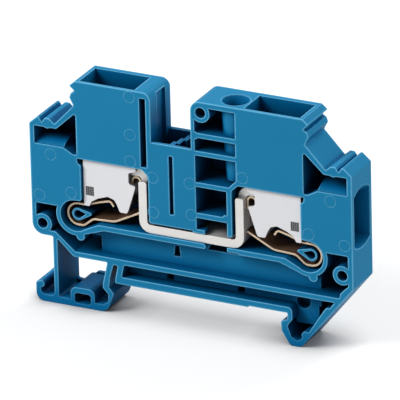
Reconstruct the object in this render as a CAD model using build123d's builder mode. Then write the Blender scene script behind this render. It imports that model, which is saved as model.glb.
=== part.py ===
import os
from math import radians, sin, tan

from build123d import *

os.makedirs("parts", exist_ok=True)

# Sizes in mm. X runs along the block, Y through its thickness and Z is up.
# The open side faces -Y, and z = 0 is the seat that rests on the mounting flanges.
thickness = 8.2
back_wall = 0.9
front_wall = 0.55
wall = 0.85
axis_x = -1.2

# Mounting foot
flange_length = 35.0
flange_slot = 1.0
seat_relief = 0.25
relief_start = 9.9
seat_thick = 1.4
rib_top = 4.85
rib_thick = 1.0
foot_drop = 6.05
foot_wall = 1.35
foot_width = 14.85
web_out = 11.1

# Busbar, as strip and as the levels that follow from it
bar_thick = 1.6
bar_bend = 1.5
bar_rest = 0.05
bar_front_gap = 0.3
bar_back_gap = 0.2
leg_inner = 8.85
leg_rise = 9.8
leg_rounding = 0.35
plate_rise = 2.0
plate_bend = 1.45
plate_margin = 0.5

# Heights of the moulding
shelf_top = 10.9
shelf_thick = 1.0
block_clearance = 0.55
tower_rise = 9.5
shoulder_rise = 5.5

# Towers, screwdriver shafts and the pushers that slide in them
shaft_length = 11.0
shaft_clearance = 0.45
shaft_back = 1.2
tower_wall = 0.7
pusher_gap = 0.2
pusher_side_gap = 0.08
pusher_back_gap = 0.1
pusher_cheek = 0.5
pusher_head = 7.3
pusher_stroke = 2.0
cheek_clearance = 0.15

# Spring chambers and springs
loop_out = 1.35
loop_rise = 1.05
chamber_radius = 3.0
spring_drop = 0.15
spring_radius = 2.1
strip = 0.38
spring_gap = 0.1
boss_radius = 1.2
boss_wall = 0.4

# Retaining levers that turn in the corner under each contact plate
lever_strip = 0.35
lever_radius = 0.8
lever_clearance = 1.05
lever_length = 4.65
lever_blade = 2.4
lever_blade_back = 0.4

# Wire funnels in the side walls
side_block = 8.8
funnel_radius = 5.8
funnel_width = 6.6
funnel_depth = 5.5
wire_width = 4.8
wire_height = 6.0

# Test socket and locating sockets
socket_from_front = 3.5
socket_radius = 2.0
socket_wall = 0.75
socket_length = 8.0
socket_mouth = 2.0
locator_radius = 1.0
locator_wall = 0.85
locator_depth = 6.0

# Reach of each feature from the middle line between the clamps
leg_outer = leg_inner + bar_thick
leg_middle = leg_inner + bar_thick / 2
shaft_inner = leg_outer + shaft_clearance
shaft_reach = shaft_inner + shaft_length
tower_reach = shaft_reach + tower_wall
loop_reach = shaft_reach + loop_out
wall_reach = loop_reach + side_block
plate_reach = shaft_reach - 2.9
lever_reach = leg_outer + lever_clearance

# Level of each feature
bar_bottom = shelf_top + bar_rest
block_bottom = bar_bottom + bar_thick + block_clearance
leg_top = shelf_top + leg_rise
plate_top = leg_top + plate_rise
chamber_top = plate_top + 0.6
pocket_base = chamber_top + 1.7
shoulder = chamber_top + shoulder_rise
valley_top = shoulder + 0.1
tower_top = shoulder + tower_rise
loop_z = shelf_top + loop_rise
side_floor = loop_z + 1.35
shelf_bottom = shelf_top - shelf_thick
rib_bottom = rib_top - rib_thick
foot_bottom = -foot_drop
foot_floor = foot_bottom + foot_wall
pusher_top = plate_top + pusher_head
lever_z = plate_top - bar_thick - lever_clearance
lever_foot = lever_z - lever_length
funnel_z = chamber_top - 3.7
wire_z = shelf_top + 7.2

front_y = -thickness / 2
floor_depth = thickness - back_wall
shaft_depth = thickness - shaft_back
floor_step = 2.6
pusher_front = front_wall + pusher_side_gap
pusher_back = shaft_depth - pusher_back_gap
spring_front = pusher_front + pusher_cheek + spring_gap
spring_back = pusher_back - pusher_cheek - spring_gap
plate_front = pusher_front + pusher_cheek + plate_margin
plate_depth = pusher_back - pusher_cheek - plate_margin
half_flange = flange_length / 2
latch_x = -half_flange - 0.55
hook_x = half_flange + 0.25
web_x = latch_x - web_out
foot_x = latch_x - foot_width
valley_left = axis_x - leg_inner + 1.3
valley_right = axis_x + 0.45
valley_middle = (valley_left + valley_right) / 2
window_left = valley_right + 0.75
window_right = axis_x + shaft_inner - 1.65
window_narrow = window_right - 1.95
socket_x = window_right - 1.35


def front(depth=0.0):
    """Sketch plane that faces the open side, set back by a depth."""
    return Plane.XZ.offset(thickness / 2 - depth)


def rounded_stops(corners):
    """Start, middle and end of the arc at each corner; a third number is its radius."""
    count = len(corners)
    stops = []
    for index, corner in enumerate(corners):
        here = Vector(corner[0], corner[1])
        last = Vector(*corners[index - 1][:2])
        following = Vector(*corners[(index + 1) % count][:2])
        if len(corner) < 3:
            stops.append((here, None, here))
            continue
        back = (last - here).normalized()
        ahead = (following - here).normalized()
        half_angle = radians(back.get_angle(ahead) / 2)
        reach = corner[2] / tan(half_angle)
        bulge = corner[2] / sin(half_angle) - corner[2]
        middle = here + (back + ahead).normalized() * bulge
        stops.append((here + back * reach, middle, here + ahead * reach))
    return stops


def region(corners):
    """Closed area from corners, with rounded ones as arcs."""
    stops = rounded_stops(corners)
    with BuildSketch() as area:
        with BuildLine():
            for index, (start, middle, end) in enumerate(stops):
                if middle is not None:
                    ThreePointArc(start, middle, end)
                Line(end, stops[(index + 1) % len(stops)][0])
        make_face()
    return area.sketch


def strip_side(corners, shift):
    """Stops of one face of a bent strip, moved sideways from its middle line."""
    points = [Vector(*corner[:2]) for corner in corners]
    runs = [following - point for point, following in zip(points, points[1:])]
    normals = [run.normalized().rotate(Axis.Z, 90) * shift for run in runs]
    moved = []
    for index, (start, middle, end) in enumerate(rounded_stops(corners)):
        before = normals[max(index - 1, 0)]
        after = normals[min(index, len(normals) - 1)]
        if middle is not None:
            middle = middle + (before + after).normalized() * abs(shift)
        moved.append((start + before, middle, end + after))
    return moved


def bent_strip(corners, width):
    """Edge of a strip of even thickness bent along open corners."""
    faces = [strip_side(corners, width / 2), strip_side(corners, -width / 2)]
    with BuildSketch() as area:
        with BuildLine():
            for face in faces:
                for (start, middle, end), following in zip(face, face[1:]):
                    if middle is not None:
                        ThreePointArc(start, middle, end)
                    if (following[0] - end).length > 0.001:
                        Line(end, following[0])
            Line(faces[0][0][0], faces[1][0][0])
            Line(faces[0][-1][2], faces[1][-1][2])
        make_face()
    return area.sketch


def on_side(side, corners):
    """Corners given outwards from the middle line, placed right (1) or left (-1)."""
    return [(axis_x + side * corner[0], *corner[1:]) for corner in corners]


def on_slope(along, inset):
    """Point beside the slanted outer wall of the foot, from its lower end."""
    low = Vector(hook_x + 2.65, foot_bottom)
    high = Vector(axis_x + wall_reach, rib_top + 2.15)
    run = (high - low).normalized()
    point = low + run * along * (high - low).length + run.rotate(Axis.Z, 90) * inset
    return point.X, point.Y


# Marker carrier profile, from the outer wall up to the tower, as reach and height
marker_profile = [
    (wall_reach, shoulder, 0.4),
    (wall_reach - 1.65, shoulder + 1.4, 0.25),
    (wall_reach - 2.0, shoulder + 1.3),
    (wall_reach - 2.5, shoulder + 0.5),
    (wall_reach - 2.85, shoulder + 0.7),
    (wall_reach - 3.1, shoulder + 1.35, 0.3),
    (wall_reach - 4.05, shoulder + 1.35, 0.4),
    (wall_reach - 5.1, shoulder + 0.45, 0.15),
    (tower_reach + 0.35, tower_top - 4.8, 0.3),
    (tower_reach + 1.15, tower_top - 3.3, 0.4),
    (tower_reach + 0.8, tower_top - 2.35, 0.3),
    (tower_reach + 0.2, tower_top - 2.1),
    (tower_reach + 0.2, tower_top - 1.8),
    (tower_reach + 1.1, tower_top - 0.95, 0.12),
    (tower_reach, tower_top),
]
body_outline = (
    on_side(1, marker_profile)
    + [
        (valley_right, tower_top, 1.8),
        (valley_right, valley_top),
        (valley_left, valley_top),
        (valley_left, tower_top, 1.6),
    ]
    + on_side(-1, marker_profile[::-1])
    + [
        (axis_x - wall_reach, rib_top + 2.3, 2.2),
        (web_x, rib_top + 2.3, 0.3),
        (web_x, foot_bottom + 3.75),
        (foot_x, foot_bottom + 3.75, 0.4),
        (foot_x, foot_bottom, 1.6),
        (latch_x - 0.45, foot_bottom, 2.0),
        (latch_x + 0.95, -2.2, 0.35),
        (latch_x, -flange_slot - 0.1),
        (latch_x + 0.25, 0.8),
        (latch_x + 1.05, 3.6, 0.4),
        (latch_x + 1.95, 3.6, 0.4),
        (latch_x + 1.2, 0.0, 0.4),
        (relief_start, 0.0),
        (relief_start, seat_relief),
        (hook_x, seat_relief, 0.2),
        (hook_x, -flange_slot - 0.05, 0.2),
        (hook_x - 1.35, -1.6, 0.3),
        (hook_x - 1.2, -3.4),
        (hook_x + 0.45, foot_bottom, 1.0),
        (*on_slope(0, 0), 1.1),
        (*on_slope(1, 0), 0.8),
    ]
)

# Hollows open to the front. Each is an outline and how deep it goes.
marker_pocket = [
    (tower_reach, tower_top - 6.2, 0.3),
    (wall_reach - 5.45, shoulder - 0.4),
    (wall_reach - wall - 0.1, shoulder - 0.4, 0.2),
    (wall_reach - wall - 0.1, pocket_base),
    (tower_reach + 2.7, pocket_base, 0.3),
    (tower_reach + 0.8, pocket_base - 1.05, 0.3),
    (tower_reach, pocket_base - 1.05, 0.2),
]
channel = [
    (axis_x - wall_reach + wall, side_floor, 0.3),
    (axis_x - loop_reach - 2.6, side_floor),
    (axis_x - loop_reach, shelf_bottom),
    (axis_x + loop_reach, shelf_bottom),
    (axis_x + loop_reach + 2.6, side_floor),
    (axis_x + wall_reach - wall - 0.1, side_floor, 0.3),
    (axis_x + wall_reach - wall - 0.1, rib_top + 2.55, 0.6),
    on_slope(0.912, 1.19),
    on_slope(0.849, 1.24),
    (on_slope(0.797, 0.8)[0], rib_top),
    (web_x + 4.45, rib_top),
    (web_x + 0.55, rib_top + 3.3),
    (axis_x - wall_reach + wall, rib_top + 3.3, 0.9),
]
seat_box = [
    (latch_x + 3.2, rib_bottom, 0.3),
    (on_slope(0.712, 0.96)[0], rib_bottom),
    on_slope(0.621, 0.88),
    (*on_slope(0.586, 1.44), 0.2),
    (*on_slope(0.528, 1.37), 0.2),
    on_slope(0.203, 0.8),
    (*on_slope(0.174, 1.56), 0.2),
    (*on_slope(0.121, 1.55), 0.2),
    on_slope(0.089, 0.94),
    (hook_x + 1.85, foot_bottom + 1.1, 0.4),
    (hook_x + 0.75, -4.4, 0.4),
    (hook_x, -2.5),
    (hook_x + 0.2, -1.9, 0.2),
    (hook_x + 0.95, -0.9, 0.4),
    (hook_x + 0.95, seat_thick, 0.9),
    (latch_x + 2.65, seat_thick, 0.2),
]
foot_recess = [
    (foot_x + 0.95, foot_bottom + 5.0),
    (foot_x + 0.95, foot_floor, 0.9),
    (web_x, foot_floor, 0.9),
    (web_x, foot_bottom + 5.0),
]
latch_window = [
    (web_x + wall, rib_top + 2.05, 0.2),
    (web_x + 4.1, rib_bottom),
    (latch_x - 0.2, rib_bottom, 0.2),
    (latch_x - 1.2, -0.6),
    (latch_x - 1.25, -1.3, 0.3),
    (latch_x - 0.15, -2.5, 0.3),
    (latch_x - 0.2, -4.0),
    (latch_x - 1.25, foot_floor, 0.5),
    (web_x + wall, foot_floor, 0.5),
]
latch_open_back = [
    (web_x + wall, rib_top + 2.05, 0.2),
    (web_x + 4.1, rib_bottom),
    (latch_x - 0.2, rib_bottom, 0.2),
    (latch_x - 1.2, -0.6),
    (latch_x - 1.25, -2.0, 0.2),
    (latch_x - 6.25, -2.0, 0.9),
    (latch_x - 8.15, -4.3, 0.8),
    (web_x + wall, -4.0, 0.3),
]
clamp_chamber = [
    (0.0, shelf_top),
    (loop_reach - 4.65, shelf_top, 1.0),
    (loop_reach - 0.95, loop_z - chamber_radius + 0.17),
    (loop_reach, loop_z),
    (loop_reach, loop_z + chamber_radius),
    (shaft_reach, loop_z + chamber_radius + 0.1, 0.5),
    (shaft_reach, chamber_top - 1.3),
    (shaft_reach + 0.6, chamber_top - 0.9, 0.3),
    (shaft_reach + 0.75, chamber_top, 0.2),
    (shaft_inner - 1.3, chamber_top, 0.5),
    (leg_inner - 0.55, chamber_top - 1.2, 0.5),
    (leg_inner - 0.55, block_bottom, 0.4),
    (0.0, block_bottom),
]
shelf_window = [
    (window_left + 1.4, shelf_top),
    (window_left + 1.75, shelf_top - 0.5),
    (window_left + 0.9, shelf_top - 2.2),
    (window_right + 0.25, shelf_top - 2.2),
    (window_right + 0.25, shelf_top - 0.8),
    (window_narrow - 0.1, shelf_top - 0.8),
    (window_narrow - 0.1, shelf_top),
]
window_rows = [
    [(window_left, tower_top - 6.0), (window_right, tower_top - 6.0),
     (window_right, tower_top - 1.0), (window_left, tower_top - 1.0)],
    [(window_left, valley_top - 0.1), (window_right, valley_top - 0.1),
     (window_right, tower_top - 6.95), (window_left, tower_top - 6.95)],
    [(window_left, chamber_top - 0.6), (window_right - 1.45, chamber_top - 0.6),
     (window_right, chamber_top + 0.9), (window_right, valley_top - 1.0), (window_left, valley_top - 1.0)],
    [(window_left, block_bottom + 3.65), (window_narrow - 0.9, block_bottom + 3.65),
     (window_narrow - 0.5, block_bottom + 4.1), (window_narrow, block_bottom + 4.1),
     (window_narrow, chamber_top - 1.5), (window_left, chamber_top - 1.5)],
    [(window_left, block_bottom - 0.2), (window_narrow, block_bottom - 0.2),
     (window_narrow, block_bottom + 2.65), (window_left, block_bottom + 2.65)],
]
locators = [
    (axis_x - wall_reach + 2.1, side_floor - 3.9),
    (axis_x + wall_reach - 2.1, side_floor - 3.9),
    (window_left + 1.25, tower_top - 2.05),
]
pins = [
    (axis_x - wall_reach + 3.6, shoulder + 0.35, 0.95),
    (axis_x + wall_reach - 3.6, shoulder + 0.35, 0.95),
    (axis_x - loop_reach + 0.95, loop_z - 3.85, 0.85),
    (axis_x + loop_reach + 0.95, loop_z - 3.85, 0.85),
    (valley_right + 0.75, tower_top - 6.55, 0.75),
    (foot_x + 1.05, foot_bottom + 3.3, 0.65),
]

with BuildPart() as housing:
    # Moulded body, cut to its outline
    with BuildSketch(front()):
        add(region(body_outline))
    extrude(amount=-thickness)
    # Hollows of the side blocks, the foot and the long channel
    with BuildSketch(front()):
        add(region(channel))
        add(region(seat_box))
        add(region(latch_window))
        add(region(foot_recess))
        for side in (-1, 1):
            add(region(on_side(side, marker_pocket)))
        for row in window_rows:
            add(region(row))
        with Locations((axis_x - shaft_inner + 1.8, (chamber_top + tower_top) / 2 - 0.35)):
            Rectangle(1.2, tower_top - chamber_top - 1.7)
    extrude(amount=-floor_depth, mode=Mode.SUBTRACT)
    with BuildSketch(front()):
        add(region(latch_open_back))
    extrude(amount=-thickness, mode=Mode.SUBTRACT)
    # Curved backs of the wire funnels rise inside the marker pockets
    back_near = tower_reach + 2.65
    back_far = wall_reach - wall - 0.05
    for side in (-1, 1):
        with BuildSketch(Plane.YZ.offset(axis_x + side * (back_near + back_far) / 2)):
            with Locations((0, funnel_z)):
                Circle(funnel_radius + 0.8)
            Rectangle(thickness, 2 * (funnel_z + 10), mode=Mode.INTERSECT)
            with Locations((0, funnel_z)):
                Rectangle(thickness, 2 * (pocket_base - funnel_z - 0.3), mode=Mode.SUBTRACT)
            with Locations((0, funnel_z - 10)):
                Rectangle(thickness, 20, mode=Mode.SUBTRACT)
        extrude(amount=(back_far - back_near) / 2, both=True)
    # Raised floor of the channel and of the seat box
    step_left = latch_x - 2.5
    step_right = hook_x + 5.55
    with BuildSketch(front(floor_step)):
        with Locations(((step_left + step_right) / 2, (rib_top + shelf_bottom) / 2)):
            Rectangle(step_right - step_left, shelf_bottom - rib_top)
        with Locations(((latch_x + 2.85 + step_right) / 2, (rib_bottom + seat_thick) / 2)):
            Rectangle(step_right - latch_x - 2.85, rib_bottom - seat_thick)
        with Locations((hook_x + 2.8, 0.7)):
            Rectangle(4.6, 6.3)
        with Locations((step_left - 2.2, rib_top + 3.1)):
            Rectangle(4.4, 0.5)
    extrude(amount=-(floor_depth - floor_step))
    with BuildSketch(front(floor_step)):
        with Locations((valley_middle - 0.55, rib_top + 2.45)):
            Trapezoid(1.3, 2.1, 83)
        with Locations((valley_middle - 2.05, seat_thick + 0.7), (socket_x + 0.7, seat_thick + 0.7)):
            Rectangle(1.4, 1.3)
        with Locations((hook_x + 2.05, seat_thick + 0.4)):
            Circle(1.35)
    extrude(amount=-2.0, mode=Mode.SUBTRACT)
    # Round walls of the spring chambers, with the slopes that join them to the shelf
    with BuildSketch(front()):
        for side in (-1, 1):
            with Locations((axis_x + side * loop_reach, loop_z)):
                Circle(chamber_radius + wall)
            slope = [
                (loop_reach - 5.75, shelf_bottom),
                (loop_reach - 1.6, loop_z - chamber_radius - 0.45),
                (loop_reach, loop_z - chamber_radius),
                (loop_reach, shelf_top),
                (loop_reach - 5.75, shelf_top),
            ]
            add(region(on_side(side, slope)))
        for x, z, radius in pins:
            with Locations((x, z)):
                Circle(radius)
        for x, z in locators:
            with Locations((x, z)):
                Circle(locator_radius + locator_wall)
    extrude(amount=-thickness)
    # Chambers for the clamps, the busbar passing below the middle block
    with BuildSketch(front()):
        for side in (-1, 1):
            with Locations((axis_x + side * loop_reach, loop_z)):
                Circle(chamber_radius)
            add(region(on_side(side, clamp_chamber)))
        add(region(shelf_window))
    extrude(amount=-floor_depth, mode=Mode.SUBTRACT)
    # Hollow pegs that carry the spring loops, set back behind the pusher cheeks
    for side in (-1, 1):
        with BuildSketch(front(spring_front)):
            with Locations((axis_x + side * (loop_reach + 0.05), loop_z - spring_drop)):
                Circle(boss_radius)
            with Locations((axis_x + side * (loop_reach - 2.4), loop_z + 0.2)):
                Circle(0.28)
            make_hull()
        extrude(amount=-(floor_depth - spring_front))
        with BuildSketch(front(spring_front)):
            with Locations((axis_x + side * (loop_reach + 0.05), loop_z - spring_drop)):
                Circle(boss_radius - boss_wall)
            with Locations((axis_x + side * (loop_reach - 1.35), loop_z + 0.05)):
                Circle(0.12)
            make_hull()
        extrude(amount=-(floor_depth - spring_front), mode=Mode.SUBTRACT)
        cheek_depth = pusher_back - pusher_cheek - cheek_clearance
        with BuildSketch(front(cheek_depth)):
            with Locations((axis_x + side * (shaft_reach - 1), loop_z + 0.5)):
                Rectangle(2, 2)
        extrude(amount=-(floor_depth - cheek_depth), mode=Mode.SUBTRACT)
    # Screwdriver shafts through the towers
    for side in (-1, 1):
        with BuildSketch(Plane.XY.offset(tower_top)):
            with Locations((axis_x + side * (shaft_reach + shaft_inner) / 2,
                            front_y + (front_wall + shaft_depth) / 2)):
                Rectangle(shaft_reach - shaft_inner, shaft_depth - front_wall)
        extrude(amount=-(tower_top - chamber_top + 1), mode=Mode.SUBTRACT)
    # Bridge shaft between the towers, with its divider and slit
    with BuildSketch(Plane.XY.offset(valley_top)):
        with Locations(((valley_left + valley_right) / 2, front_y + (0.6 + floor_depth) / 2)):
            Rectangle(valley_right - valley_left, floor_depth - 0.6)
    extrude(amount=-(valley_top - block_bottom - wall), mode=Mode.SUBTRACT)
    for jog, near, far in ((-0.6, 1.2, 3.2), (0.0, 2.6, 5.0), (0.6, 4.4, floor_depth)):
        with BuildSketch(front(near)):
            with Locations((valley_middle + jog, (block_bottom + valley_top) / 2)):
                Rectangle(0.9, valley_top - block_bottom - 1.0)
        extrude(amount=-(far - near))
    with BuildSketch(front()):
        with Locations((valley_middle - 0.15, (block_bottom + valley_top + 0.3) / 2)):
            Rectangle(0.8, valley_top - block_bottom - 4.5)
    extrude(amount=-1.0, mode=Mode.SUBTRACT)
    with BuildSketch(front()):
        with Locations((window_left + 0.4, block_bottom + 0.05)):
            Rectangle(2.4, 0.75)
    extrude(amount=-1.5)
    with BuildSketch(Plane.XY.offset(tower_top - 0.9)):
        with Locations((valley_left, front_y + 4.5)):
            Rectangle(1.1, 3.4)
    extrude(amount=-(tower_top - block_bottom - 2 * wall), mode=Mode.SUBTRACT)
    # Test socket: a tapered tube behind the windows, bored from the top
    with Locations((socket_x, front_y + socket_from_front, (chamber_top + tower_top) / 2)):
        Cone(socket_radius - 0.1, socket_radius + socket_wall, tower_top - chamber_top)
    with Locations((socket_x, front_y + socket_from_front, (chamber_top + 1 + tower_top) / 2)):
        Cylinder(socket_radius - 0.9, tower_top - chamber_top - 1, mode=Mode.SUBTRACT)
    with Locations((socket_x, front_y + socket_from_front, tower_top - socket_length / 2)):
        Cylinder(socket_radius, socket_length, mode=Mode.SUBTRACT)
    with Locations((socket_x, front_y + socket_from_front, tower_top - socket_mouth / 2)):
        Cone(socket_radius, socket_radius + 0.6, socket_mouth, mode=Mode.SUBTRACT)
    # Locating sockets
    with BuildSketch(front()):
        for x, z in locators:
            with Locations((x, z)):
                Circle(locator_radius)
    extrude(amount=-locator_depth, mode=Mode.SUBTRACT)
    # Wire funnels: wide mouths in the side walls that narrow to the clamps
    for side in (-1, 1):
        mouth = Plane.YZ.offset(axis_x + side * wall_reach)
        throat = Plane.YZ.offset(axis_x + side * (wall_reach - funnel_depth))
        with BuildSketch(mouth):
            with Locations((0, funnel_z)):
                Circle(funnel_radius)
                Rectangle(funnel_width, 3 * funnel_radius, mode=Mode.INTERSECT)
        with BuildSketch(throat):
            with Locations((-0.3, wire_z)):
                Rectangle(wire_width, wire_height)
        loft(mode=Mode.SUBTRACT)
        with BuildSketch(throat):
            with Locations((-0.3, wire_z)):
                Rectangle(wire_width, wire_height)
        extrude(amount=-side * (wall_reach - funnel_depth - shaft_reach + 0.5), mode=Mode.SUBTRACT)
    # Screwdriver slot in the elastic foot, relieved at the back of the bar
    slot_x = latch_x - 5.4
    with BuildSketch(front()):
        with Locations((slot_x, (foot_bottom - 2.2) / 2)):
            RectangleRounded(4.9, -2.2 - foot_bottom, 1.2)
    extrude(amount=-floor_depth)
    with BuildSketch(front()):
        with Locations((slot_x, foot_bottom + 1.75)):
            RectangleRounded(3.3, 2.0, 0.55)
    extrude(amount=-floor_depth, mode=Mode.SUBTRACT)
    with BuildSketch(front(3.8)):
        with Locations((slot_x, foot_bottom + 0.5)):
            Rectangle(3.3, 3.0)
    extrude(amount=-thickness, mode=Mode.SUBTRACT)

housing.part.label = "housing"
export_step(housing.part, "parts/housing.step")

# Busbar: a bent U strip whose legs carry narrower contact plates on top
with BuildPart() as busbar:
    with BuildSketch(front(bar_front_gap)):
        add(bent_strip([
            (axis_x - leg_middle, leg_top),
            (axis_x - leg_middle, bar_bottom + bar_thick / 2, bar_bend),
            (axis_x + leg_middle, bar_bottom + bar_thick / 2, bar_bend),
            (axis_x + leg_middle, leg_top),
        ], bar_thick))
    extrude(amount=-(floor_depth - bar_front_gap - bar_back_gap))
    fillet(busbar.edges().filter_by(Axis.Y).group_by(Axis.Z)[-1], radius=leg_rounding)
    for side in (-1, 1):
        with BuildSketch(front(plate_front)):
            add(bent_strip(on_side(side, [
                (leg_middle, leg_top - 1.0),
                (leg_middle, plate_top - bar_thick / 2, plate_bend),
                (plate_reach, plate_top - bar_thick / 2),
            ]), bar_thick))
        extrude(amount=-(plate_depth - plate_front))

busbar.part.label = "busbar"
export_step(busbar.part, "parts/busbar.step")

# Clamping springs: one bent strip each, looped round the peg
spring_z = loop_z - spring_drop


def spring_face(side):
    """Edge of the spring: hooked upper leg, loop and long clamping leg."""
    top = spring_z + spring_radius
    base = spring_z - spring_radius
    far = loop_reach + spring_radius
    return bent_strip(on_side(side, [
        (loop_reach - 7.2, loop_z + 2.5),
        (loop_reach - 6.55, loop_z + 3.45, 0.6),
        (loop_reach - 4.35, loop_z + 2.9, 2.0),
        (loop_reach - 1.65, top, 2.0),
        (far, top, spring_radius),
        (far, base, spring_radius),
        (loop_reach - 1.05, base, 1.4),
        (loop_reach - 2.95, loop_z - 0.65, 1.4),
        (loop_reach - 7.35, shelf_top + 0.6, 3.0),
        (leg_outer + 0.2, shelf_top + 3.3),
    ]), strip)


with BuildPart() as clamping_spring_left:
    with BuildSketch(front(spring_front)):
        add(spring_face(-1))
    extrude(amount=-(spring_back - spring_front))

clamping_spring_left.part.label = "clamping_spring_left"
export_step(clamping_spring_left.part, "parts/clamping_spring_left.step")

with BuildPart() as clamping_spring_right:
    with BuildSketch(front(spring_front)):
        add(spring_face(1))
    extrude(amount=-(spring_back - spring_front))

clamping_spring_right.part.label = "clamping_spring_right"
export_step(clamping_spring_right.part, "parts/clamping_spring_right.step")

# Pushers: a solid head in the shaft and two cheeks that straddle wire and spring
pusher_reach = shaft_reach - pusher_gap
pusher_inner = shaft_inner + pusher_gap
pusher_outline = [
    (pusher_inner, pusher_top, 0.4),
    (pusher_inner, plate_top - 0.4),
    (pusher_inner + 1.5, plate_top - 0.9, 0.4),
    (pusher_inner + 1.5, plate_top - 3.0, 0.6),
    (pusher_inner + 0.1, plate_top - 3.3, 0.3),
    (pusher_inner + 1.75, shelf_top + 3.4),
    (pusher_inner + 2.05, shelf_top + 2.95, 0.2),
    (pusher_inner + 3.4, shelf_top + 2.95, 0.4),
    (pusher_inner + 3.95, shelf_top + 4.3, 0.4),
    (pusher_inner + 4.5, shelf_top + 5.2, 0.5),
    (pusher_reach - 4.8, shelf_top + 5.6, 0.6),
    (pusher_reach - 2.8, shelf_top + 4.9),
    (pusher_reach - 1.5, shelf_top + 4.1),
    (pusher_reach - 1.05, shelf_top + 3.15, 0.15),
    (pusher_reach, shelf_top + 3.15, 0.2),
    (pusher_reach, pusher_top, 0.4),
]
press_bar = [
    (pusher_inner + 2.2, shelf_top + 3.1, 0.3),
    (pusher_inner + 3.4, shelf_top + 3.1, 0.3),
    (pusher_inner + 3.4, shelf_top + 4.3, 0.2),
    (pusher_inner + 2.2, shelf_top + 4.3, 0.2),
]
passage_top = plate_top + pusher_stroke + 0.3
hatch_u = pusher_reach - 1.25
hatch_z = shelf_top + 6.15
hatch_size = 1.7
hatch_lines = 4


def pusher_body(side):
    """Solid of one pusher, right (1) or left (-1)."""
    with BuildPart() as body:
        with BuildSketch(front(pusher_front)):
            add(region(on_side(side, pusher_outline)))
        extrude(amount=-(pusher_back - pusher_front))
        # Passage between the cheeks for the wire, the plate and the spring
        with BuildSketch(front(pusher_front + pusher_cheek)):
            with Locations((axis_x + side * (pusher_inner + pusher_reach) / 2, passage_top - 10)):
                Rectangle(shaft_length + 4, 20)
        extrude(amount=-(pusher_back - pusher_front - 2 * pusher_cheek), mode=Mode.SUBTRACT)
        # Cross bar that presses the long leg of the spring
        with BuildSketch(front(pusher_front)):
            add(region(on_side(side, press_bar)))
        extrude(amount=-(pusher_back - pusher_front))
        # Seat for the screwdriver blade
        with BuildSketch(Plane.XY.offset(pusher_top)):
            with Locations((axis_x + side * (pusher_inner + pusher_reach) / 2,
                            front_y + (pusher_front + pusher_back) / 2)):
                Rectangle(6.0, 1.4)
        extrude(amount=-1.2, mode=Mode.SUBTRACT)
        # Knurled patch on the front cheek
        with BuildSketch(front(pusher_front)):
            for line in range(hatch_lines):
                step = (line - (hatch_lines - 1) / 2) * hatch_size / hatch_lines
                with Locations((axis_x + side * hatch_u, hatch_z + step)):
                    Rectangle(hatch_size, 0.16)
                with Locations((axis_x + side * hatch_u + step, hatch_z)):
                    Rectangle(0.16, hatch_size)
        extrude(amount=-0.12, mode=Mode.SUBTRACT)
    return body.part


with BuildPart() as pusher_left:
    add(pusher_body(-1))

pusher_left.part.label = "pusher_left"
export_step(pusher_left.part, "parts/pusher_left.step")

with BuildPart() as pusher_right:
    add(pusher_body(1))

pusher_right.part.label = "pusher_right"
export_step(pusher_right.part, "parts/pusher_right.step")

# Retaining levers: a thin steel strip whose curled top is its pivot
blade_back = plate_depth - lever_blade_back
blade_front = blade_back - lever_blade


def lever_face(side):
    """Edge of one lever: hooked tip, curl and the blade that hangs by the busbar leg."""
    outer = lever_reach + lever_radius
    inner = lever_reach - lever_radius
    return bent_strip(on_side(side, [
        (outer + 0.3, lever_z - 0.95),
        (outer, lever_z - 0.35, 0.4),
        (outer, lever_z + lever_radius, lever_radius),
        (inner, lever_z + lever_radius, lever_radius),
        (inner, lever_z - 0.5, 2.0),
        (inner + 0.1, lever_foot),
    ]), lever_strip)


def lever_body(side):
    """Solid of one lever, cut back in front of its blade."""
    with BuildPart() as body:
        with BuildSketch(front(plate_front)):
            add(lever_face(side))
        extrude(amount=-(plate_depth - plate_front))
        blade_top = lever_z - 2 * lever_radius
        for near, far in ((plate_front, blade_front), (blade_back, plate_depth)):
            with BuildSketch(front(near)):
                with Locations((axis_x + side * lever_reach, blade_top - lever_length / 2)):
                    Rectangle(4 * lever_radius, lever_length)
            extrude(amount=-(far - near), mode=Mode.SUBTRACT)
    return body.part


with BuildPart() as retaining_lever_left:
    add(lever_body(-1))

retaining_lever_left.part.label = "retaining_lever_left"
export_step(retaining_lever_left.part, "parts/retaining_lever_left.step")

with BuildPart() as retaining_lever_right:
    add(lever_body(1))

retaining_lever_right.part.label = "retaining_lever_right"
export_step(retaining_lever_right.part, "parts/retaining_lever_right.step")
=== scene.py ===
# %% [markdown]
# # A feed-through terminal block
#
# The part is a slim moulding that stays open on one side, so the busbar, the springs and the
# pushers can be seen at work. The frame that is loaded here holds all of them at real size.
# This lesson dresses that frame. It gives each piece its finish, rebuilds the springs so that
# they can bend, and sets up a plain studio with a camera at the angle of the photograph.

from math import ceil, cos, pi, radians, sin, tan

import bmesh
import bpy
from mathutils import Matrix, Vector


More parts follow.
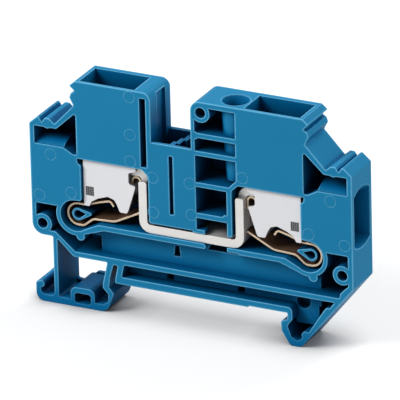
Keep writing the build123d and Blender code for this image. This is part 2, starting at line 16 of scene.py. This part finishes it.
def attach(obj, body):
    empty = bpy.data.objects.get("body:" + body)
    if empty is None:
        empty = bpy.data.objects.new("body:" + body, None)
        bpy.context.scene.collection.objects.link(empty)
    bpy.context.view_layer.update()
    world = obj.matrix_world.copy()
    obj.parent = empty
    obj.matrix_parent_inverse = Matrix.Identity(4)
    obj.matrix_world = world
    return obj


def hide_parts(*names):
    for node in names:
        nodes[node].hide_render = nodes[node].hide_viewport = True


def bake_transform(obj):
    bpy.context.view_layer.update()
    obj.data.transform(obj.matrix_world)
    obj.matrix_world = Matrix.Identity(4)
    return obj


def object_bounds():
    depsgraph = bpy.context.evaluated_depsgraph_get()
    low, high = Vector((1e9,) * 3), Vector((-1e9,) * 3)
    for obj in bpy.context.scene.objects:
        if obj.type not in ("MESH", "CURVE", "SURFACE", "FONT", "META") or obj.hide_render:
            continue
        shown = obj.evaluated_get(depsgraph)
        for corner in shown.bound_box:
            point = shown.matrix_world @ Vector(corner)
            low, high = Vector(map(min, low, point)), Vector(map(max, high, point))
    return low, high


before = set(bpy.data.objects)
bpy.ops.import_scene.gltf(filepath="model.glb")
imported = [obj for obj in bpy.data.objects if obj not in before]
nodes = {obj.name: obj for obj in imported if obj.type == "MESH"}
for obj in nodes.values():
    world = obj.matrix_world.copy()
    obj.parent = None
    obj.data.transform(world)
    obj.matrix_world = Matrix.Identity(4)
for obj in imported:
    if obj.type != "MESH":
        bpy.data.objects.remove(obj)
cad_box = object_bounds()
print("nodes:", ", ".join(sorted(nodes)))

# %% [markdown]
# ## Working in millimetres
#
# Blender counts in metres, while a moulding of this size is drawn in millimetres. One factor
# turns the one into the other. Colours are easier to compare with a picture on the 0 to 255
# scale of a screen, but a shader wants linear light, so a second helper does that step.

# %% Two helpers for sizes and colours
MM = 0.001


def tone(red, green, blue):
    """Linear colour from screen values of 0 to 255."""
    parts = [value / 255 for value in (red, green, blue)]
    return tuple(p / 12.92 if p <= 0.04045 else ((p + 0.055) / 1.055) ** 2.4 for p in parts) + (1.0,)


print("mid grey in linear light:", round(tone(128, 128, 128)[0], 3))

# %% [markdown]
# ## Effects that several finishes share
#
# A moulded or rolled surface is never quite even. The unevenness could be written into every
# material, but then a change has to be made many times. A node group is built once and placed
# where it is needed, each time with its own values. A group hands out only masks, heights and
# normals, so that the shader itself stays in the material.

# %% Open a node group with named sockets
def open_group(name, inputs, outputs):
    """New shader group with number inputs, given with their defaults, and number outputs."""
    group = bpy.data.node_groups.new(name, "ShaderNodeTree")
    for label, value in inputs:
        socket = group.interface.new_socket(label, in_out="INPUT", socket_type="NodeSocketFloat")
        socket.default_value = value
    for label in outputs:
        group.interface.new_socket(label, in_out="OUTPUT", socket_type="NodeSocketFloat")
    return group, group.nodes.new("NodeGroupInput"), group.nodes.new("NodeGroupOutput")


def math_node(tree, operation, first, second=None, clamp=False):
    """Math node whose inputs are numbers or sockets; returns its output."""
    node = tree.nodes.new("ShaderNodeMath")
    node.operation = operation
    node.use_clamp = clamp
    for socket, value in zip(node.inputs, (first, second)):
        if value is None:
            continue
        if isinstance(value, (int, float)):
            socket.default_value = value
        else:
            tree.links.new(value, socket)
    return node.outputs[0]


# %% [markdown]
# The first group is the skin of a spark-eroded mould. Two noises are enough: a broad one for
# the slow drift of tone where the melt cooled at different speeds, and a fine one for the grain
# that the tool leaves. A picture could be wrapped round the part instead, but it would need
# unwrapping, and a noise in object space never shows a seam.

# %% Mould skin
def build_mould_skin():
    """Group with the slow drift and the fine grain of a moulded surface."""
    group, entry, out = open_group("mould_skin", [("Grain per metre", 9000.0), ("Drift per metre", 90.0)],
                                   ["Drift", "Grain"])
    place = group.nodes.new("ShaderNodeTexCoord")
    for label, source, detail in (("Drift", "Drift per metre", 2.0), ("Grain", "Grain per metre", 3.0)):
        noise = group.nodes.new("ShaderNodeTexNoise")
        noise.inputs["Detail"].default_value = detail
        group.links.new(place.outputs["Object"], noise.inputs["Vector"])
        group.links.new(entry.outputs[source], noise.inputs["Scale"])
        group.links.new(noise.outputs["Fac"], out.inputs[label])
    return group


mould_skin = build_mould_skin()
print("group:", mould_skin.name)

# %% [markdown]
# The second group finds edges. Moulded edges are rounded and a little translucent, so they catch
# light, and this mask paints that highlight into the colour. The Bevel node returns the normal
# that a rounded edge would have, so the angle between it and the true normal is large only near
# an edge, and that makes a mask. Inner corners would pass this test too, but they are sheltered,
# so a measure of ambient occlusion takes them out. A second, smaller Bevel node gives the normal
# that softens every edge without a single new face, where a bevel modifier would leave creases on
# the long triangles of a CAD mesh.

# %% Edge finder
LEAST_AIR = 0.65
AIR_CONTRAST = 4.0
AIR_REACH = 0.9 * MM
PROBE_RAYS = 8


def build_edge_finder():
    """Group with a mask of the outer edges and the normal of a rounded edge."""
    sizes = [("Line", 0.3 * MM), ("Rounding", 0.1 * MM), ("Contrast", 4.0)]
    group, entry, out = open_group("edge_finder", sizes, ["Edge"])
    group.interface.new_socket("Normal", in_out="OUTPUT", socket_type="NodeSocketVector")
    wide = group.nodes.new("ShaderNodeBevel")
    narrow = group.nodes.new("ShaderNodeBevel")
    for bevel, label in ((wide, "Line"), (narrow, "Rounding")):
        bevel.samples = PROBE_RAYS
        group.links.new(entry.outputs[label], bevel.inputs["Radius"])
    true_face = group.nodes.new("ShaderNodeNewGeometry")
    compare = group.nodes.new("ShaderNodeVectorMath")
    compare.operation = "DOT_PRODUCT"
    group.links.new(wide.outputs["Normal"], compare.inputs[0])
    group.links.new(true_face.outputs["Normal"], compare.inputs[1])
    turned = math_node(group, "SUBTRACT", 1.0, compare.outputs["Value"])
    mask = math_node(group, "MULTIPLY", turned, entry.outputs["Contrast"], clamp=True)
    shelter = group.nodes.new("ShaderNodeAmbientOcclusion")
    shelter.samples = PROBE_RAYS
    shelter.inputs["Distance"].default_value = AIR_REACH
    above = math_node(group, "SUBTRACT", shelter.outputs["AO"], LEAST_AIR)
    open_air = math_node(group, "MULTIPLY", above, AIR_CONTRAST, clamp=True)
    group.links.new(math_node(group, "MULTIPLY", mask, open_air), out.inputs["Edge"])
    group.links.new(narrow.outputs["Normal"], out.inputs["Normal"])
    return group


edge_finder = build_edge_finder()
print("group:", edge_finder.name)

# %% [markdown]
# The third group paints shade into the colour of deep recesses. A studio lights a part from a few
# directions, so a narrow shaft goes dark quickly, while an even sky would fill it. Ambient
# occlusion measures how much of the sky a point can see. Only the sheltered end of that range
# is used, so that shallow steps keep their full colour. The same group paints the floor's
# shadow close under the part.

# %% Recess light
def build_recess_light():
    """Group with a value that is 1 in the open and falls in a recess."""
    sizes = [("Reach", 9.0 * MM), ("Darkest", 0.1), ("Dark at", 0.05), ("Full at", 0.62)]
    group, entry, out = open_group("recess_light", sizes, ["Light"])
    shelter = group.nodes.new("ShaderNodeAmbientOcclusion")
    shelter.samples = PROBE_RAYS
    group.links.new(entry.outputs["Reach"], shelter.inputs["Distance"])
    spread = group.nodes.new("ShaderNodeMapRange")
    group.links.new(shelter.outputs["AO"], spread.inputs["Value"])
    for label, target in (("Dark at", "From Min"), ("Full at", "From Max"), ("Darkest", "To Min")):
        group.links.new(entry.outputs[label], spread.inputs[target])
    group.links.new(spread.outputs["Result"], out.inputs["Light"])
    return group


recess_light = build_recess_light()
print("group:", recess_light.name)

# %% [markdown]
# The fourth group is the streak that rolling leaves along a strip of metal. Noise is stretched
# by scaling the coordinates far more one way than the other.

# %% Rolled streaks
STREAK_STRETCH = (0.06, 1.0, 0.06)


def build_rolled_streaks():
    """Group with fine lines that run along a rolled strip."""
    group, entry, out = open_group("rolled_streaks", [("Lines per metre", 6000.0)], ["Streak"])
    place = group.nodes.new("ShaderNodeTexCoord")
    stretch = group.nodes.new("ShaderNodeMapping")
    stretch.inputs["Scale"].default_value = STREAK_STRETCH
    noise = group.nodes.new("ShaderNodeTexNoise")
    noise.inputs["Detail"].default_value = 2.0
    group.links.new(place.outputs["Object"], stretch.inputs["Vector"])
    group.links.new(stretch.outputs["Vector"], noise.inputs["Vector"])
    group.links.new(entry.outputs["Lines per metre"], noise.inputs["Scale"])
    group.links.new(noise.outputs["Fac"], out.inputs["Streak"])
    return group


rolled_streaks = build_rolled_streaks()
print("group:", rolled_streaks.name)

# %% [markdown]
# ## Starting a material
#
# Every finish here begins in the same way: a Principled shader with its colour, roughness and
# metalness set on its own sockets. The differences are added after that.

# %% Material helpers
def start_material(name, colour, roughness, metallic=0.0):
    """Material with one Principled shader; returns it with its tree and shader."""
    material = bpy.data.materials.new(name)
    material.use_nodes = True
    tree = material.node_tree
    shader = tree.nodes["Principled BSDF"]
    shader.inputs["Base Color"].default_value = colour
    shader.inputs["Roughness"].default_value = roughness
    shader.inputs["Metallic"].default_value = metallic
    return material, tree, shader


def place_group(tree, group, **values):
    """Places a node group in a material with its own values."""
    node = tree.nodes.new("ShaderNodeGroup")
    node.node_tree = group
    for label, value in values.items():
        node.inputs[label.replace("_", " ")].default_value = value
    return node


def mix_colour(tree, mask, first, second):
    """Colour that goes from first to second with a mask; colours may be sockets."""
    node = tree.nodes.new("ShaderNodeMix")
    node.data_type = "RGBA"
    tree.links.new(mask, node.inputs["Factor"])
    for socket, value in ((node.inputs["A"], first), (node.inputs["B"], second)):
        if isinstance(value, tuple):
            socket.default_value = value
        else:
            tree.links.new(value, socket)
    return node.outputs["Result"]


def held_back(tree, light, colour):
    """A colour painted darker, towards black, as a value falls from 1 to 0: painted shade."""
    return mix_colour(tree, light, (0.0, 0.0, 0.0, 1.0), colour)


def roughen(tree, shader, height, depth, strength, normal=None):
    """Bump from a height that varies over the surface, on top of a given normal."""
    bump = tree.nodes.new("ShaderNodeBump")
    bump.inputs["Strength"].default_value = strength
    bump.inputs["Distance"].default_value = depth
    tree.links.new(height, bump.inputs["Height"])
    if normal is not None:
        tree.links.new(normal, bump.inputs["Normal"])
    tree.links.new(bump.outputs["Normal"], shader.inputs["Normal"])


# %% [markdown]
# ## Blue polyamide
#
# Blocks like this are moulded in polyamide with a satin face. The colour drifts a little, the
# grain breaks up the reflections, and the rounded edges catch light, which is painted into the
# colour as a lighter outline. The mask from the edge finder is held to a part of its strength,
# because a bright painted outline all round would look drawn. Light that reaches a recess has
# bounced off blue walls, so the shade that is painted into a recess is darker and a purer blue.

# %% Finish of the moulding
def blue_polyamide():
    """Satin blue plastic with painted edge highlights and painted shade in recesses."""
    body = tone(30, 122, 166)
    lifted = tone(34, 128, 172)
    painted_highlight_colour = tone(120, 200, 240)
    shade = tone(0, 116, 178)
    material, tree, shader = start_material("blue_polyamide", body, 0.42)
    shader.inputs["Specular IOR Level"].default_value = 0.03
    skin = place_group(tree, mould_skin, Grain_per_metre=9000.0, Drift_per_metre=90.0)
    edges = place_group(tree, edge_finder, Line=0.5 * MM, Rounding=0.2 * MM, Contrast=6.0)
    drifted = mix_colour(tree, skin.outputs["Drift"], body, lifted)
    # The lighter outline is a painted highlight along the outer edges.
    painted_highlight_share = 0.9
    painted_highlight_mask = math_node(tree, "MULTIPLY", edges.outputs["Edge"], painted_highlight_share)
    # Deep recesses get painted shade: the colour turns a purer blue, then goes towards black.
    painted_recess_shade = place_group(tree, recess_light, Reach=12.0 * MM, Darkest=0.13,
                         Dark_at=0.08, Full_at=0.76)
    with_painted_highlight = mix_colour(tree, painted_highlight_mask, drifted, painted_highlight_colour)
    shade_onset = 5.0
    in_the_open = math_node(tree, "POWER", painted_recess_shade.outputs["Light"], shade_onset)
    blue_with_painted_shade = mix_colour(tree, in_the_open, shade, with_painted_highlight)
    tree.links.new(held_back(tree, painted_recess_shade.outputs["Light"], blue_with_painted_shade), shader.inputs["Base Color"])
    roughen(tree, shader, skin.outputs["Grain"], 0.01 * MM, 0.35, edges.outputs["Normal"])
    return material


polyamide = blue_polyamide()
print("material:", polyamide.name)

# %% [markdown]
# ## Light grey pusher plastic
#
# The pushers are moulded in a light grey that slides well. It is a little smoother than the
# housing and nearly neutral, so its shape is told by soft shade, with painted shade in its
# recesses. The small square that is cut with grooves on each pusher looks dark because its
# grooves hold no light, and that shade is painted on as a dark grey field. Its place is found
# from the coordinates of the pusher, so it moves with it.

# %% Square patch
PATCH_FRONT = -3.2 * MM


def build_patch():
    """Group with a mask of a square field on the front of both pushers."""
    sizes = [("Reach", 20.45 * MM), ("Height", 17.05 * MM), ("Half width", 0.8 * MM),
             ("Half height", 0.9 * MM), ("Middle", -1.2 * MM)]
    group, entry, out = open_group("square_patch", sizes, ["Field"])
    place = group.nodes.new("ShaderNodeTexCoord")
    split = group.nodes.new("ShaderNodeSeparateXYZ")
    group.links.new(place.outputs["Object"], split.inputs["Vector"])

    def gap(value, middle):
        """How far a value is from a middle, either way."""
        return math_node(group, "ABSOLUTE", math_node(group, "SUBTRACT", value, middle))

    outwards = gap(split.outputs["X"], entry.outputs["Middle"])
    across = gap(outwards, entry.outputs["Reach"])
    along = gap(split.outputs["Z"], entry.outputs["Height"])
    in_width = math_node(group, "LESS_THAN", across, entry.outputs["Half width"])
    in_height = math_node(group, "LESS_THAN", along, entry.outputs["Half height"])
    on_front = math_node(group, "LESS_THAN", split.outputs["Y"], PATCH_FRONT)
    field = math_node(group, "MULTIPLY", math_node(group, "MULTIPLY", in_width, in_height), on_front)
    group.links.new(field, out.inputs["Field"])
    return group


square_patch = build_patch()
print("group:", square_patch.name)


# %% Finish of the pushers
def grey_plastic():
    """Smooth light grey plastic with painted shade on its grooved patch and in recesses."""
    material, tree, shader = start_material("grey_plastic", tone(228, 228, 231), 0.38)
    skin = place_group(tree, mould_skin, Grain_per_metre=11000.0, Drift_per_metre=150.0)
    edges = place_group(tree, edge_finder, Rounding=0.08 * MM)
    patch = place_group(tree, square_patch)
    plain = mix_colour(tree, skin.outputs["Drift"], tone(224, 225, 229), tone(231, 231, 233))
    # The grooved square is painted dark grey as the shade its grooves hold.
    with_painted_groove_shade = mix_colour(tree, patch.outputs["Field"], plain, tone(118, 119, 121))
    # Recesses get painted shade.
    painted_recess_shade = place_group(tree, recess_light, Reach=8.0 * MM, Darkest=0.05,
                         Dark_at=0.2, Full_at=0.75)
    tree.links.new(held_back(tree, painted_recess_shade.outputs["Light"], with_painted_groove_shade), shader.inputs["Base Color"])
    roughen(tree, shader, skin.outputs["Grain"], 0.008 * MM, 0.25, edges.outputs["Normal"])
    return material


pusher_plastic = grey_plastic()
print("material:", pusher_plastic.name)

# %% [markdown]
# ## Tin on copper
#
# The busbar is punched from copper strip and tinned. Tin is a soft, bright metal, so its
# reflections are wide and milky rather than sharp.

# %% Finish of the busbar
def tinned_copper():
    """Milky tin plating, with painted shade in recesses."""
    material, tree, shader = start_material("tinned_copper", tone(221, 219, 215), 0.45, metallic=0.5)
    streaks = place_group(tree, rolled_streaks, Lines_per_metre=5000.0)
    plated = mix_colour(tree, streaks.outputs["Streak"], tone(214, 212, 208), tone(228, 226, 223))
    # Recesses get painted shade.
    painted_recess_shade = place_group(tree, recess_light, Reach=4.0 * MM, Darkest=0.15)
    tree.links.new(held_back(tree, painted_recess_shade.outputs["Light"], plated), shader.inputs["Base Color"])
    edges = place_group(tree, edge_finder, Rounding=0.12 * MM)
    roughen(tree, shader, streaks.outputs["Streak"], 0.01 * MM, 0.2, edges.outputs["Normal"])
    return material


tin = tinned_copper()
print("material:", tin.name)

# %% [markdown]
# ## Spring steel
#
# Hardened strip has a dark brown skin on its rolled faces, and bright edges where it was
# sheared. All the sheared edges of these parts face along Y. The normal in object space tells
# which face is which, and it turns with the part, so the finish holds in every pose.

# %% Finish of the springs and levers
def spring_steel():
    """Dark rolled faces and bright sheared edges."""
    material, tree, shader = start_material("spring_steel", tone(100, 76, 58), 0.45, metallic=0.3)
    place = tree.nodes.new("ShaderNodeTexCoord")
    split = tree.nodes.new("ShaderNodeSeparateXYZ")
    tree.links.new(place.outputs["Normal"], split.inputs["Vector"])
    facing = math_node(tree, "ABSOLUTE", split.outputs["Y"])
    edge_on = 0.6
    sheared = math_node(tree, "GREATER_THAN", facing, edge_on)
    streaks = place_group(tree, rolled_streaks, Lines_per_metre=7000.0)
    rolled = mix_colour(tree, streaks.outputs["Streak"], tone(82, 61, 46), tone(118, 90, 69))
    tree.links.new(mix_colour(tree, sheared, rolled, tone(214, 192, 164)), shader.inputs["Base Color"])
    roughen(tree, shader, streaks.outputs["Streak"], 0.006 * MM, 0.2)
    return material


steel = spring_steel()
print("material:", steel.name)

# %% [markdown]
# ## Dressing the CAD pieces
#
# The solids keep their shape and their own normals, so a piece is dressed by its material alone.

# %% Finish on each CAD node
def dress(piece, material):
    """Gives a piece its material."""
    piece.data.materials.clear()
    piece.data.materials.append(material)


finishes = {
    "housing": (polyamide, "blue_plastic"),
    "busbar": (tin, "tinned_copper"),
    "pusher_left": (pusher_plastic, "grey_plastic"),
    "pusher_right": (pusher_plastic, "grey_plastic"),
    "retaining_lever_left": (steel, "spring_steel"),
    "retaining_lever_right": (steel, "spring_steel"),
}
for node_name, (finish, slot_name) in finishes.items():
    dress(nodes[node_name], finish)
print("dressed:", len(finishes), "nodes")

# %% [markdown]
# ## Springs that can bend
#
# A clamping spring is one strip of steel: a hooked upper leg, a loop round a peg, and a long
# leg that presses the wire to the busbar. When the pusher goes down, the long leg goes with it.
# The CAD solid is rigid, so each spring is swept again here from the same middle line, in short
# even steps that can bend.

# %% A middle line with rounded corners
SAME_SPOT = 0.001


def rounded_line(corners, step):
    """Even points along an open line; a corner is x, z and, where it is rounded, its radius."""
    points = []
    spots = [Vector((corner[0], corner[1])) for corner in corners]
    for index, corner in enumerate(corners):
        if len(corner) < 3:
            points.append(spots[index])
            continue
        back = (spots[index - 1] - spots[index]).normalized()
        ahead = (spots[index + 1] - spots[index]).normalized()
        half = back.angle(ahead) / 2
        first = spots[index] + back * corner[2] / tan(half)
        last = spots[index] + ahead * corner[2] / tan(half)
        centre = spots[index] + (back + ahead).normalized() * corner[2] / sin(half)
        turn = (first - centre).angle_signed(last - centre)
        count = max(2, ceil(abs(turn) * corner[2] / step))
        for part in range(count + 1):
            points.append(centre + Matrix.Rotation(-turn * part / count, 2) @ (first - centre))
    return spread_evenly(points, step)


def spread_evenly(points, step):
    """Splits the long runs between points and drops doubled points."""
    line = [points[0]]
    for point in points[1:]:
        length = (point - line[-1]).length
        if length < SAME_SPOT:
            continue
        start = line[-1].copy()
        count = max(1, round(length / step))
        line.extend(start.lerp(point, part / count) for part in range(1, count + 1))
    return line


# %% Sweep a strip along that line
def sweep_strip(name, line, thickness, front, back, corner):
    """Mesh of a flat strip: even thickness, given depth range and softened corners."""
    half = thickness / 2
    rim = [
        (-half + corner, front), (half - corner, front), (half, front + corner), (half, back - corner),
        (half - corner, back), (-half + corner, back), (-half, back - corner), (-half, front + corner),
    ]
    mesh = bpy.data.meshes.new(name)
    shape = bmesh.new()
    rings = []
    last = len(line) - 1
    for index, point in enumerate(line):
        ahead = line[min(index + 1, last)] - line[max(index - 1, 0)]
        normal = Vector((-ahead.y, ahead.x)).normalized()
        ring = []
        for offset, depth in rim:
            spot = point + normal * offset
            ring.append(shape.verts.new((spot.x * MM, depth * MM, spot.y * MM)))
        rings.append(ring)
    for ring, following in zip(rings, rings[1:]):
        for index in range(len(rim)):
            after = (index + 1) % len(rim)
            shape.faces.new((ring[index], ring[after], following[after], following[index]))
    shape.faces.new(rings[0][::-1])
    shape.faces.new(rings[-1])
    bmesh.ops.recalc_face_normals(shape, faces=shape.faces)
    shape.to_mesh(mesh)
    shape.free()
    piece = bpy.data.objects.new(name, mesh)
    bpy.context.scene.collection.objects.link(piece)
    return piece


# %% Corners of the middle line
STEP = 0.25
LOOP_REACH = 23.25
LOOP_Z = 11.95
LOOP_DROP = 0.15
LOOP_RADIUS = 2.1
SHELF_TOP = 10.9

loop_top = LOOP_Z - LOOP_DROP + LOOP_RADIUS
loop_base = LOOP_Z - LOOP_DROP - LOOP_RADIUS
loop_far = LOOP_REACH + LOOP_RADIUS
spring_corners = [
    (LOOP_REACH - 7.2, LOOP_Z + 2.5),
    (LOOP_REACH - 6.55, LOOP_Z + 3.45, 0.6),
    (LOOP_REACH - 4.35, LOOP_Z + 2.9, 2.0),
    (LOOP_REACH - 1.65, loop_top, 2.0),
    (loop_far, loop_top, LOOP_RADIUS),
    (loop_far, loop_base, LOOP_RADIUS),
    (LOOP_REACH - 1.05, loop_base, 1.4),
    (LOOP_REACH - 2.95, LOOP_Z - 0.65, 1.4),
    (LOOP_REACH - 7.35, SHELF_TOP + 0.6, 3.0),
    (10.65, SHELF_TOP + 3.3),
]
middle_line = rounded_line(spring_corners, STEP)
strip_length = sum((after - before).length for before, after in zip(middle_line, middle_line[1:]))
print("strip length in mm:", round(strip_length, 1))

# %% Both clamping springs
AXIS_X = -1.2
STRIP = 0.38
STRIP_CORNER = 0.05
SPRING_FRONT = -2.87
SPRING_BACK = 2.2


def make_spring(side_name, side):
    """One clamping spring, swept as a strip in place of the rigid CAD spring."""
    corners = [(AXIS_X + side * corner[0], *corner[1:]) for corner in spring_corners]
    line = rounded_line(corners, STEP)
    piece = sweep_strip(f"bending_spring_{side_name}", line, STRIP, SPRING_FRONT, SPRING_BACK, STRIP_CORNER)
    dress(piece, steel)
    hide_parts(f"clamping_spring_{side_name}")
    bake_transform(piece)
    return piece


for side_name, side in (("left", -1), ("right", 1)):
    spring = make_spring(side_name, side)
    print(spring.name, "stations:", len(spring.data.vertices) // 8)

# %% [markdown]
# ## Ejector marks
#
# Pins push a moulding out of its tool, and each leaves a faint round line on the face. They
# could be cut with a boolean, but a very low ring on the surface reads the same and keeps the
# big mesh clean.

# %% Rings left by the ejector pins
FRONT = -4.1
MARK_RADIUS = 1.08
MARK_BREADTH = 0.16
MARK_HEIGHT = 0.014
mark_places = [
    (-12.9, 37.0), (-12.9, 29.7), (-13.0, 24.5), (-29.1, 23.2), (-31.6, 14.9), (-25.2, 16.3),
    (-8.6, 22.1), (-8.6, 15.3), (-1.2, 22.2), (-1.0, 16.1), (9.3, 25.0), (26.6, 23.4),
    (22.2, 16.3), (29.3, 15.3),
]


def ring_mesh(name, places, radius, breadth, height, segments=48):
    """Low rounded rings on the front face, all in one mesh."""
    mesh = bpy.data.meshes.new(name)
    shape = bmesh.new()
    rim = [(-breadth / 2, height), (-breadth / 4, -height), (breadth / 4, -height), (breadth / 2, height)]
    for x, z in places:
        rings = []
        for index in range(segments):
            angle = 2 * pi * index / segments
            rings.append([
                shape.verts.new(((x + (radius + out) * cos(angle)) * MM, (FRONT + depth) * MM,
                                 (z + (radius + out) * sin(angle)) * MM))
                for out, depth in rim
            ])
        for index, ring in enumerate(rings):
            following = rings[(index + 1) % segments]
            for part in range(len(rim)):
                after = (part + 1) % len(rim)
                shape.faces.new((ring[part], ring[after], following[after], following[part]))
    bmesh.ops.recalc_face_normals(shape, faces=shape.faces)
    shape.to_mesh(mesh)
    shape.free()
    piece = bpy.data.objects.new(name, mesh)
    bpy.context.scene.collection.objects.link(piece)
    return piece


marks = ring_mesh("ejector_marks", mark_places, MARK_RADIUS, MARK_BREADTH, MARK_HEIGHT)
dress(marks, polyamide)
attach(marks, "block")
print("ejector marks:", len(mark_places))

# %% [markdown]
# ## Studio
#
# A pale floor carries the soft shadow. Rays that come straight from the camera, or by way of a
# reflection, see the floor and the sky brighter than the part does, which gives the white ground
# without putting any more light on the part. Close under the part, that extra brightness is cut
# back by a painted shadow from the recess group. The part then keeps the colours it was given.

# %% Floor and world
def seen_directly(tree):
    """Mask that is 1 for camera, glossy and transmission rays."""
    path = tree.nodes.new("ShaderNodeLightPath")
    both = math_node(tree, "MAXIMUM", path.outputs["Is Camera Ray"], path.outputs["Is Glossy Ray"])
    return math_node(tree, "MAXIMUM", both, path.outputs["Is Transmission Ray"])


FLOOR_GLOW = 0.52
AMBIENT = 0.36

floor_height = cad_box[0][2]
floor_mesh = bpy.data.meshes.new("floor")
reach = 6.0
floor_mesh.from_pydata([(-reach, -reach, floor_height), (reach, -reach, floor_height),
                        (reach, reach, floor_height), (-reach, reach, floor_height)], [], [(0, 1, 2, 3)])
floor = bpy.data.objects.new("floor", floor_mesh)
bpy.context.scene.collection.objects.link(floor)
floor_material, floor_tree, floor_shader = start_material("pale_floor", (0.5, 0.5, 0.5, 1.0), 0.9)
floor_shader.inputs["Emission Strength"].default_value = 1.0
# Close under the part the floor's glow is darkened: a painted shadow.
painted_contact_shadow = place_group(floor_tree, recess_light, Reach=8.0 * MM, Darkest=0.0,
                      Dark_at=0.45, Full_at=0.95)
glow_with_painted_shadow = math_node(floor_tree, "MULTIPLY", painted_contact_shadow.outputs["Light"], FLOOR_GLOW)
floor_tree.links.new(math_node(floor_tree, "MULTIPLY", seen_directly(floor_tree), glow_with_painted_shadow),
                     floor_shader.inputs["Emission Color"])
floor_mesh.materials.append(floor_material)

world = bpy.data.worlds.new("studio")
bpy.context.scene.world = world
world.use_nodes = True
sky_tree = world.node_tree
sky = sky_tree.nodes["Background"]
sky.inputs["Color"].default_value = (1.0, 1.0, 1.0, 1.0)
lift = math_node(sky_tree, "MULTIPLY", seen_directly(sky_tree), 1.0 - AMBIENT)
sky_tree.links.new(math_node(sky_tree, "ADD", lift, AMBIENT), sky.inputs["Strength"])
print("floor height in mm:", round(floor_height / MM, 2))

# %% Soft lamps
PART_MIDDLE = Vector((0, 0, 0.018))


def soft_lamp(name, place, size, watts):
    """Square lamp that looks at the middle of the part."""
    light = bpy.data.lights.new(name, "AREA")
    light.shape = "SQUARE"
    light.size = size
    light.energy = watts
    lamp = bpy.data.objects.new(name, light)
    lamp.location = place
    aim = PART_MIDDLE - Vector(place)
    lamp.rotation_euler = aim.to_track_quat("-Z", "Y").to_euler()
    bpy.context.scene.collection.objects.link(lamp)
    return lamp


soft_lamp("key_lamp", (-0.42, -0.44, 0.5), 0.32, 4.9)
soft_lamp("side_lamp", (0.65, 0.08, 0.26), 0.25, 1.2)
soft_lamp("back_lamp", (0.16, 0.45, 0.5), 0.25, 2.0)

# %% [markdown]
# ## Camera
#
# The angle was measured from the photograph: straight edges along and through the part fix the
# direction, and how little they converge fixes the distance. The lens is long because the
# picture has almost no perspective.

# %% Camera at the photograph's angle
azimuth = radians(26.74)
elevation = radians(23.29)
roll = radians(-1.40)
look_at = Vector((0.81, -4.1, 19.35)) * MM
distance = 1.3886
lens = 699.4

back = Vector((sin(azimuth) * cos(elevation), -cos(azimuth) * cos(elevation), sin(elevation)))
level = Vector((cos(azimuth), sin(azimuth), 0))
upright = back.cross(level)
right = level * cos(roll) + upright * sin(roll)
up = upright * cos(roll) - level * sin(roll)

camera_data = bpy.data.cameras.new("camera")
camera_data.lens = lens
camera_data.sensor_width = 36
camera_data.clip_start = 0.1
camera_data.clip_end = 50
camera = bpy.data.objects.new("camera", camera_data)
turned = Matrix((right, up, back)).transposed().to_4x4()
camera.matrix_world = Matrix.Translation(look_at + back * distance) @ turned
bpy.context.scene.collection.objects.link(camera)
bpy.context.scene.camera = camera
bpy.context.scene.view_settings.view_transform = "Standard"
print("camera distance in m:", distance)
